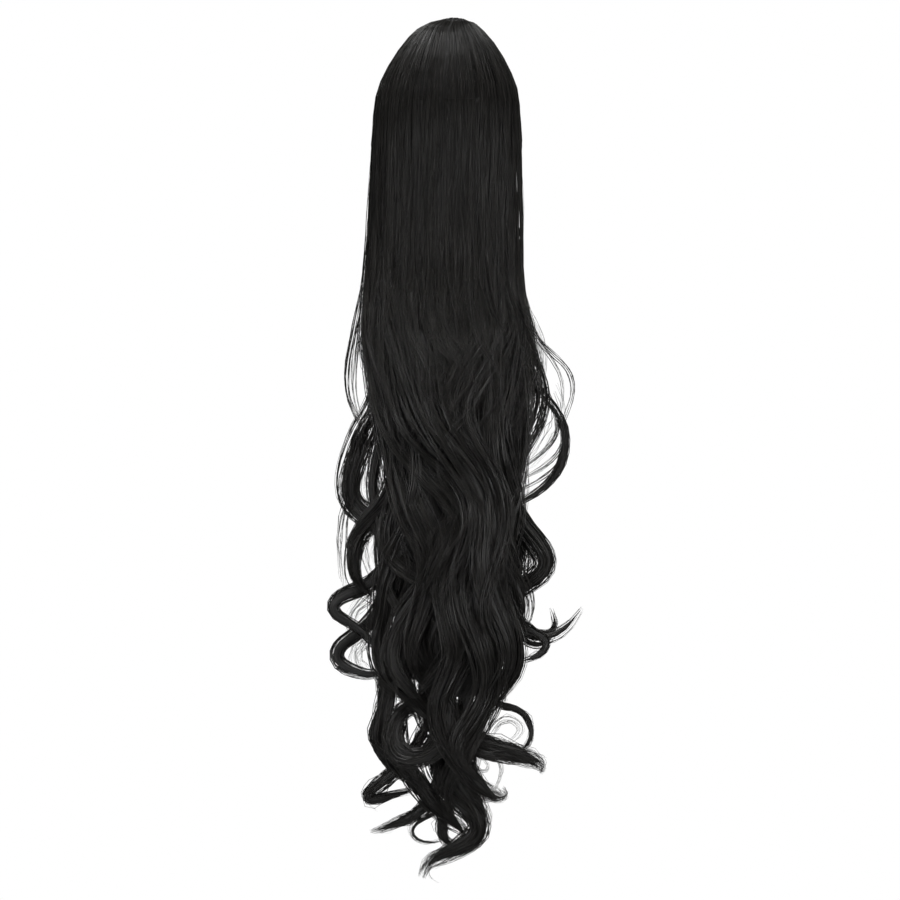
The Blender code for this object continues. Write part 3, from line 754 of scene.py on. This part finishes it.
def strand_offsets(lock, line, at, from_body, spread):
    """How far strands lie across and out of a lock's middle line, in clumps, with swings of their own."""
    count = len(at)
    share = at / line.along[-1]
    clumps = max(FEWEST_CLUMPS, round(count / CLUMP_STRANDS))
    member = np.arange(count) % clumps
    own = np.arange(count)
    lane = np.linspace(-OUTER_LANE, OUTER_LANE, clumps) + spread.normal(0, LANE_SCATTER / clumps, clumps)
    dome = np.sqrt(np.clip(1 - lane ** 2, EDGE_HEIGHT, 1))
    height = dome * spread.uniform(ROOTED_LOW if from_body else FREE_LOW, 1, clumps)
    scale = min(1.0, lock.half_width / FULL_SWING_WIDTH)
    loose = np.ones_like(share)
    if from_body:
        loose = ROOT_LOOSENESS + (1 - ROOT_LOOSENESS) * ease(share * LOOSENING)
    gather = np.interp(share, GATHER_PLACES, GATHER_SHARES)
    stray = np.where(spread.random(count) < STRAY_SHARE, STRAY_SWING, 0.0)[:, None]

    profile = lock_profile(lock, line, at, from_body)
    across = lane[member][:, None] * profile * lock.half_width
    across = across + scale * loose * CLUMP_ACROSS.size * wander(spread, member, share, CLUMP_ACROSS.waves)
    across = across + scale * gather * (
        spread.normal(0, ACROSS_SCATTER, (count, 1))
        + loose * (STRAND_ACROSS.size + stray) * wander(spread, own, share, STRAND_ACROSS.waves))
    rise = height[member][:, None] * profile * lock.half_thickness
    rise = rise + scale * loose * CLUMP_OUT.size * wander(spread, member, share, CLUMP_OUT.waves)
    rise = rise + scale * gather * (
        spread.normal(0, OUT_SCATTER, (count, 1))
        + loose * (STRAND_OUT.size + STRAY_OUT * stray) * wander(spread, own, share, STRAND_OUT.waves))
    return across, rise


def proud_height(angle, z):
    """How far strands stand proud at places on the body."""
    dome = CROWN_PROUD * (1 - ease((CROWN_PROUD_END - z) / CROWN_PROUD_REACH))
    return dome + BAND_PROUD * np.sin(angle) ** 2 * np.exp(-((z - BAND_HEIGHT) / BAND_REACH) ** 2)


def spread_strands(lock, line, count, first, last, from_body, spread):
    """The lines of some of a lock's strands, which leave the body of the hair as it comes loose."""
    stations = stations_between(line, first, last)
    scatter = START_SCATTER if first == 0 else HIDDEN_SCATTER
    begin = first + spread.uniform(0, scatter, count) * (not from_body or first > 0)
    scatter = ROOTED_END_SCATTER if from_body else FREE_END_SCATTER
    end = last - scatter * spread.random(count) ** END_CROWDING
    at = begin[:, None] + (end - begin)[:, None] * ((stations - first) / (last - first))
    across, rise = strand_offsets(lock, line, at, from_body, spread)
    out = sample(line, line.outward, at)
    on_route = (sample(line, line.places, at) + sample(line, line.across, at) * across[..., None]
                + out * rise[..., None])
    if not from_body:
        return on_route, out, at
    z = np.interp(at, line.along, line.places[:, 2])
    angle = line.angle - across * BODY_SPREAD / BODY_RADIUS
    root = HIDDEN_ROOT if first > 0 else TOP_ROOT
    sunk = root.depth * (1 - ease((at - begin[:, None]) / root.reach)) + groove_depth(angle, z)
    inset = STRAND_INSET - STRAND_LIFT * rise / lock.half_thickness - proud_height(angle, z) + sunk
    on_body = body_point(z, angle, inset)
    weight = ease((LOOSE_START - z) / (LOOSE_START - LOOSE_END))[..., None]
    return on_body * (1 - weight) + on_route * weight, out, at


def fill_locks(name, fan, rise, spread):
    """A fan of waving locks over the body, sunk in at their roots, which may then rise over it."""
    locks = []
    for number, angle in enumerate(np.radians(np.linspace(fan.first, fan.last, fan.locks))):
        phase = spread.uniform(0, 2 * math.pi)
        pitch = spread.uniform(*FILL_PITCH)
        route = []
        for z in np.arange(FILL_TOP, FILL_BOTTOM, -FILL_STEP):
            down = FILL_TOP - z
            sway = FILL_SWAY * ease(down / FILL_SWAY_REACH) * math.sin(2 * math.pi * z / pitch + phase)
            lift = rise * ease(down / VEIL_REACH) - FILL_SINK * (1 - ease(down / FILL_SINK_REACH))
            route.append(tuple(body_point(z, np.float64(angle + sway), FILL_INSET - lift)))
        locks.append(Lock(f"{name}_{number}", FILL_HALF_WIDTH, FILL_HALF_THICKNESS, fan.strands,
                          tuple(route)))
    return locks


def mouth_edges(angle):
    """Where a line down the hair at an angle meets the upper and lower rim of the clip's mouth."""
    heights = np.linspace(CAP_TOP, CAP_LOW, MOUTH_SAMPLES)
    across = body_point(heights, np.full(heights.shape, angle), 0.0)[:, 0] / MOUTH_HALF_LENGTH
    inside = np.abs(across) ** MOUTH_POWER + np.abs(heights / MOUTH_HALF_HEIGHT) ** MOUTH_POWER < 1
    if not inside.any():
        return None
    return heights[inside][0], heights[inside][-1]


def cap_runs(spread):
    """Where the cap's strands run, as rows of (angle, start, end, pace down the dome)."""
    angles = np.radians(np.linspace(*CAP_ANGLES, CAP_STRANDS))
    for angle in angles + spread.normal(0, CAP_ANGLE_SCATTER, CAP_STRANDS):
        edges = mouth_edges(angle)
        low = CAP_LOW + spread.uniform(-CAP_LOW_SCATTER, CAP_LOW_SCATTER)
        if edges:
            yield angle, CAP_TOP, edges[0] + spread.uniform(0, RIM_SCATTER), CAP_PACE
            yield angle, edges[1] - spread.uniform(0, RIM_SCATTER), low, 1.0
        else:
            yield angle, CAP_TOP, low, CAP_PACE


def add_cap(bundle, spread):
    """Strands over the back of the dome: from its top to the mouth's rim, and on from the lower rim."""
    runs = list(cap_runs(spread))
    angle, start, end, pace = (np.array(column)[:, None] for column in zip(*runs))
    share = np.linspace(0, 1, CAP_STATIONS)[None]
    z = start + (end - start) * share ** pace
    swing = wander(spread, np.arange(len(runs)), np.broadcast_to(share, z.shape), CAP_WAVES)
    rise = spread.uniform(*CAP_RISE, (len(runs), 1)) + CAP_RISE_SWING * swing
    tuck = RIM_TUCK * ease((share - 1 + RIM_TUCK_SHARE) / RIM_TUCK_SHARE)
    tuck = tuck + TOP_TUCK * ease((TOP_TUCK_SHARE - share) / TOP_TUCK_SHARE)
    centres = body_point(z, angle + CAP_SWING * swing, tuck - rise)
    out = np.stack([np.cos(angle), np.sin(angle), np.ones_like(angle)], axis=-1)
    size = CAP_RADIUS * spread.uniform(*CAP_RADIUS_SCATTER, (len(runs), 1)) * np.ones_like(z)
    bundle.add(centres, np.broadcast_to(out, centres.shape), size, size * STRAND_FLATNESS,
               np.ones(STRAND_SIDES), spread.random(len(runs)), CAP_TOP - z)


def route_length(lock):
    """The length of a lock's own route, measured from place to place."""
    places = np.array(lock.route, float)
    return float(np.linalg.norm(np.diff(places, axis=0), axis=1).sum())


class Bundle:
    """Tubes that are gathered up and made one mesh."""

    def __init__(self):
        self.points, self.quads, self.caps, self.strand, self.count = [], [], [], [], 0

    def add(self, centres, outward, half_width, half_thickness, ridges, tone, along):
        """Adds closed tubes, from (tubes, stations) arrays of centres and sizes and one ridge a side."""
        tubes, stations = centres.shape[:2]
        sides = len(ridges)
        tangents = unit(np.gradient(centres, axis=1))
        out = unit(outward - tangents * np.sum(outward * tangents, axis=-1, keepdims=True))
        across = np.cross(tangents, out)
        turn = 2 * math.pi * (np.arange(sides) + STRAND_TURN * (sides == STRAND_SIDES)) / sides
        ring = (centres[:, :, None]
                + across[:, :, None] * (half_width[..., None] * (ridges * np.cos(turn)))[..., None]
                + out[:, :, None] * (half_thickness[..., None] * (ridges * np.sin(turn)))[..., None])
        index = self.count + np.arange(tubes * stations * sides).reshape(tubes, stations, sides)
        after = np.roll(index, -1, axis=2)
        quads = np.stack([index[:, :-1], after[:, :-1], after[:, 1:], index[:, 1:]], axis=-1)
        self.points.append(ring.reshape(-1, 3))
        self.quads.append(quads.reshape(-1, 4))
        self.caps += [list(row) for row in index[:, 0, ::-1].tolist()]
        self.caps += [list(row) for row in index[:, -1].tolist()]
        shape = (tubes, stations, sides)
        around = np.broadcast_to(half_width[..., None] * np.cos(turn), shape)
        facts = np.stack([np.broadcast_to(tone[:, None, None], shape),
                          np.broadcast_to(along[..., None] * MM, shape), around], axis=-1)
        self.strand.append(facts.reshape(-1, 3))
        self.count += ring.size // 3

    def build(self, name, material):
        """Makes the mesh and its object, with each point's strand facts kept as an attribute."""
        points = np.vstack(self.points) * MM
        quads = np.vstack(self.quads)
        caps = self.caps
        loops = np.concatenate([quads.ravel(), np.array([i for cap in caps for i in cap], np.int64)])
        sizes = np.concatenate([np.full(len(quads), 4), [len(cap) for cap in caps]])
        mesh = bpy.data.meshes.new(name)
        mesh.vertices.add(len(points))
        mesh.vertices.foreach_set("co", points.astype(np.float32).ravel())
        mesh.loops.add(len(loops))
        mesh.loops.foreach_set("vertex_index", loops.astype(np.int32))
        mesh.polygons.add(len(sizes))
        mesh.polygons.foreach_set("loop_start", (np.cumsum(sizes) - sizes).astype(np.int32))
        mesh.update(calc_edges=True)
        mesh.shade_smooth()
        facts = mesh.attributes.new("strand", "FLOAT_VECTOR", "POINT")
        facts.data.foreach_set("vector", np.vstack(self.strand).astype(np.float32).ravel())
        mesh.materials.append(material)
        item = bpy.data.objects.new(name, mesh)
        bpy.context.scene.collection.objects.link(item)
        return item


def add_lock(bundle, bodies, lock, steps, facing, thickness, spread):
    """Adds a lock's strands to one bundle and its own solid form, where it has one, to another."""
    line = lock_line(lock, steps, facing, spread)
    for count, first, last in strand_groups(lock, line, bool(steps)):
        centres, out, at = spread_strands(lock, line, count, first, last, bool(steps), spread)
        radius = spread.choice(STRAND_RADII, count, p=STRAND_SHARES) * spread.uniform(*RADIUS_SCATTER, count)
        taper = TIP_SIZE + (1 - TIP_SIZE) * ease((at[:, -1:] - at) / TIP_REACH)
        taper[:, 0] *= ROOT_SIZE
        fineness = STRAIGHT_FINENESS + (1 - STRAIGHT_FINENESS) * looseness(centres[..., 2])
        size = thickness * radius[:, None] * taper * fineness
        bundle.add(centres, out, size, size * STRAND_FLATNESS, np.ones(STRAND_SIDES),
                   spread.random(count), at)
    if bodies is not None:
        add_lock_form(bodies, lock, line, bool(steps), spread)


def add_lock_form(bodies, lock, line, from_body, spread):
    """The ridged solid form of a lock, under its strands, from where it leaves the body of the hair."""
    form = WIDE_FORM if lock.half_width > WIDE_LOCK else NARROW_FORM
    start = FREE_FORM_START
    if from_body:
        start = float(np.interp(-FORM_START, -line.places[:, 2], line.along))
    end = line.along[-1] - form.short
    at = stations_between(line, start, end)
    tip_reach = FORM_TIP_WIDTHS * lock.half_width + FORM_TIP_REACH
    ends = ease((at - start) / FORM_ROOT_REACH + FORM_ROOT_SIZE)
    ends = ends * ease((end - at) / tip_reach + FORM_TIP_SIZE)
    profile = lock_profile(lock, line, at, from_body) * ends
    out = sample(line, line.outward, at)
    half_width = form.width * lock.half_width * profile
    half_thickness = form.thickness * lock.half_thickness * profile
    centres = sample(line, line.places, at) - out * (FORM_SINK * half_thickness)[:, None]
    ridges = 1 - FORM_RIDGE * spread.random(FORM_SIDES)
    bodies.add(centres[None], out[None], half_width[None], half_thickness[None], ridges,
               spread.random(1), at[None])


def add_nodes(material):
    """The node tree of a material, its shader and a short way to add a node."""
    material.use_nodes = True
    tree = material.node_tree

    def node(kind, **settings):
        """Adds one node, with its settings."""
        made = tree.nodes.new("ShaderNode" + kind)
        for key, value in settings.items():
            setattr(made, key, value)
        return made

    return tree, tree.nodes["Principled BSDF"], node


def strand_place(node):
    """Reads each strand's own facts: its tone, and the place along and across it."""
    return node("Attribute", attribute_name="strand").outputs["Vector"]


def dome_place(node):
    """Reads a place on the dome as its angle and its height, so that streaks run down it."""
    split = node("SeparateXYZ")
    link = split.id_data.links.new
    link(node("TexCoord").outputs["Object"], split.inputs[0])
    turn = node("Math", operation="ARCTAN2")
    link(split.outputs["Y"], turn.inputs[0])
    link(split.outputs["X"], turn.inputs[1])
    joined = node("CombineXYZ")
    link(turn.outputs[0], joined.inputs["X"])
    link(split.outputs["Z"], joined.inputs["Y"])
    return joined.outputs[0]


def object_place(node):
    """Reads the plain place in the object."""
    return node("TexCoord").outputs["Object"]


def noise_material(finish, read_place):
    """A material whose colour, roughness and bump follow one noise, stretched by the finish's scales."""
    material = bpy.data.materials.new(finish.name)
    tree, shader, node = add_nodes(material)
    link = tree.links.new
    stretch = node("VectorMath", operation="MULTIPLY")
    stretch.inputs[1].default_value = finish.scale
    link(read_place(node), stretch.inputs[0])
    noise = node("TexNoise")
    noise.inputs["Scale"].default_value = 1.0
    noise.inputs["Detail"].default_value = finish.detail
    link(stretch.outputs[0], noise.inputs["Vector"])
    ramp = node("ValToRGB")
    for element, position, colour in zip(ramp.color_ramp.elements, finish.ramp, (finish.dark, finish.light)):
        element.position = position
        element.color = (*colour, 1)
    link(noise.outputs["Fac"], ramp.inputs["Fac"])
    link(ramp.outputs["Color"], shader.inputs["Base Color"])
    rough = node("MapRange")
    rough.inputs["To Min"].default_value, rough.inputs["To Max"].default_value = finish.roughness
    link(noise.outputs["Fac"], rough.inputs["Value"])
    link(rough.outputs[0], shader.inputs["Roughness"])
    bump = node("Bump")
    bump.inputs["Strength"].default_value = finish.strength
    bump.inputs["Distance"].default_value = finish.bump
    link(noise.outputs["Fac"], bump.inputs["Height"])
    link(bump.outputs[0], shader.inputs["Normal"])
    return material


def make_core(material):
    """The dark mass under the locks, in ridges, from under the crown to the tail, coloured darker than the
    strands as painted shade.
    """
    spread = np.random.default_rng(SEED + 1)
    turn = 2 * math.pi * np.arange(CORE_SIDES) / CORE_SIDES
    ridges = spread.uniform(0, CORE_RIDGE, CORE_SIDES)
    rings = []
    for z in np.linspace(CORE_TOP, CORE_END, CORE_RINGS):
        sway = CORE_SWAY * looseness(z) * np.sin(z / CORE_SWAY_PITCH + CORE_SWAY_TURNS * turn)
        inset = CORE_INSET + CORE_SINK * ease((CORE_TOP - z) / CORE_SINK_REACH)
        inset = inset + CORE_WAVE_SINK * looseness(z) + ridges
        inset = inset + CORE_TAPER * ease((CORE_TAPER_TOP - z) / CORE_TAPER_REACH)
        rings.append(body_point(np.full(CORE_SIDES, z), turn + sway, inset))
    ring = np.array(rings)
    index = np.arange(ring.shape[0] * CORE_SIDES).reshape(-1, CORE_SIDES)
    after = np.roll(index, -1, axis=1)
    quads = np.stack([index[:-1], index[1:], after[1:], after[:-1]], axis=-1)
    bundle = Bundle()
    bundle.points = [ring.reshape(-1, 3)]
    bundle.quads = [quads.reshape(-1, 4)]
    bundle.caps = [index[0].tolist(), index[-1, ::-1].tolist()]
    facts = np.stack([np.broadcast_to(ridges / CORE_TONE, ring.shape[:2]),
                      ring[..., 2] * MM,
                      np.broadcast_to(turn * BODY_RADIUS, ring.shape[:2])], axis=-1)
    bundle.strand = [facts.reshape(-1, 3)]
    return bundle.build("hair_core", material)


def make_stage():
    """A pale floor well below the hair."""
    bpy.ops.mesh.primitive_circle_add(vertices=96, radius=FLOOR_RADIUS, fill_type="NGON",
                                      location=(0, 0, FLOOR_HEIGHT))
    floor = bpy.context.object
    floor.name = "floor"
    material = bpy.data.materials.new("floor")
    _, shader, _ = add_nodes(material)
    shader.inputs["Base Color"].default_value = (FLOOR_SHADE, FLOOR_SHADE, FLOOR_SHADE, 1)
    shader.inputs["Roughness"].default_value = FLOOR_ROUGHNESS
    floor.data.materials.append(material)


def make_light(row):
    """One soft area light, aimed at its target."""
    light = bpy.data.lights.new(row.name, "AREA")
    light.shape = "RECTANGLE"
    light.size, light.size_y = row.width, row.height
    light.energy = row.power
    light.spread = math.radians(row.spread)
    item = bpy.data.objects.new(row.name, light)
    bpy.context.scene.collection.objects.link(item)
    item.location = row.place
    aim = Vector(row.target) - Vector(row.place)
    item.rotation_euler = aim.to_track_quat("-Z", "Y").to_euler()


def make_world():
    """White behind the object, and a dimmer even light on it."""
    world = bpy.data.worlds.new("studio")
    bpy.context.scene.world = world
    world.use_nodes = True
    tree = world.node_tree
    seen = tree.nodes["Background"]
    seen.inputs["Color"].default_value = (1, 1, 1, 1)
    seen.inputs["Strength"].default_value = WORLD_SEEN
    lit = tree.nodes.new("ShaderNodeBackground")
    lit.inputs["Color"].default_value = (1, 1, 1, 1)
    lit.inputs["Strength"].default_value = WORLD_LIT
    path = tree.nodes.new("ShaderNodeLightPath")
    mix = tree.nodes.new("ShaderNodeMixShader")
    tree.links.new(path.outputs["Is Camera Ray"], mix.inputs[0])
    tree.links.new(lit.outputs[0], mix.inputs[1])
    tree.links.new(seen.outputs[0], mix.inputs[2])
    tree.links.new(mix.outputs[0], tree.nodes["World Output"].inputs[0])


def make_camera():
    """A long lens level with the middle of the hair, at the height the photograph was taken from."""
    data = bpy.data.cameras.new("camera")
    data.sensor_width = SENSOR_WIDTH
    data.lens = LENS
    camera = bpy.data.objects.new("camera", data)
    bpy.context.scene.collection.objects.link(camera)
    camera.location = CAMERA_PLACE
    camera.rotation_euler = (math.pi / 2, 0, 0)
    bpy.context.scene.camera = camera


def finish_piece(item, slot, *nodes):
    """A piece rides on the one body and stands for its nodes; its slot argument is not used."""
    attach(item, "root")
    if nodes:
        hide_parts(*nodes)


def set_material(node_name, material):
    """Gives a solid that is shown as it is its finish."""
    data = frame["nodes"][node_name].data
    data.materials.clear()
    data.materials.append(material)


# A piece of hair: its locks, their roots, facing and thickness, and the node it stands for
Piece = namedtuple("Piece", "name locks steps facing thickness node")


def hair_pieces():
    """The pieces of hair, in the order they are made."""
    spread = np.random.default_rng(SEED + 2)
    front_fill = fill_locks("fill", FRONT_FAN, 0.0, spread)
    back_fill = fill_locks("fill", BACK_FAN, 0.0, spread)
    veil = fill_locks("veil", VEIL_FAN, VEIL_RISE, spread)
    return (
        Piece("hair_front_fill", front_fill, (), 0, 1.0, "front_fall"),
        Piece("hair_back_fill", back_fill, (), 0, 1.0, "back_fall"),
        Piece("hair_front_left", FRONT_LEFT, CROWN_STEPS, -1, 1.0, "front_fall"),
        Piece("hair_front_centre", FRONT_CENTRE, CROWN_STEPS, -1, 1.0, "front_fall"),
        Piece("hair_front_right", FRONT_RIGHT, CROWN_STEPS, -1, 1.0, "front_fall"),
        Piece("hair_tail", TAIL, (), -1, 1.0, "front_fall"),
        Piece("hair_back_left", BACK_LEFT, NAPE_STEPS, 1, 1.0, "back_fall"),
        Piece("hair_back_right", BACK_RIGHT, NAPE_STEPS, 1, 1.0, "back_fall"),
        Piece("hair_veil", veil, (), 0, FINE, "front_fall"),
        Piece("hair_flyaway", FLYAWAY, (), -1, FINE, "front_fall"),
    )


def make_hair():
    """The core, the locks with their forms and strands, and the cap over the dome."""
    strands = noise_material(STRANDS, strand_place)
    # The core and the lock forms take the darker under finish, which is painted shade.
    under = noise_material(SHADED_UNDER, strand_place)
    finish_piece(make_core(under), "hair", "front_fall", "back_fall")
    bodies = Bundle()
    for number, piece in enumerate(hair_pieces()):
        spread = np.random.default_rng(SEED + 10 * number)
        bundle = Bundle()
        held = None if piece.thickness == FINE else bodies
        for lock in piece.locks:
            add_lock(bundle, held, lock, piece.steps, piece.facing, piece.thickness, spread)
        finish_piece(bundle.build(piece.name, strands), "hair", piece.node)
    finish_piece(bodies.build("hair_locks", under), "hair", "front_fall", "back_fall")
    cap = Bundle()
    add_cap(cap, np.random.default_rng(SEED + 3))
    finish_piece(cap.build("hair_cap", strands), "hair")


def main():
    """Sets the stage, makes the hair and dresses the solids."""
    clear_start()
    bpy.context.scene.view_settings.view_transform = "Standard"
    make_camera()
    make_world()
    make_stage()
    for row in LIGHTS:
        make_light(row)
    make_hair()
    # The dome takes the darker crown finish, which is painted shade.
    set_material("crown", noise_material(SHADED_DOME, dome_place))
    set_material("claw_clip", noise_material(PLASTIC, object_place))


main()
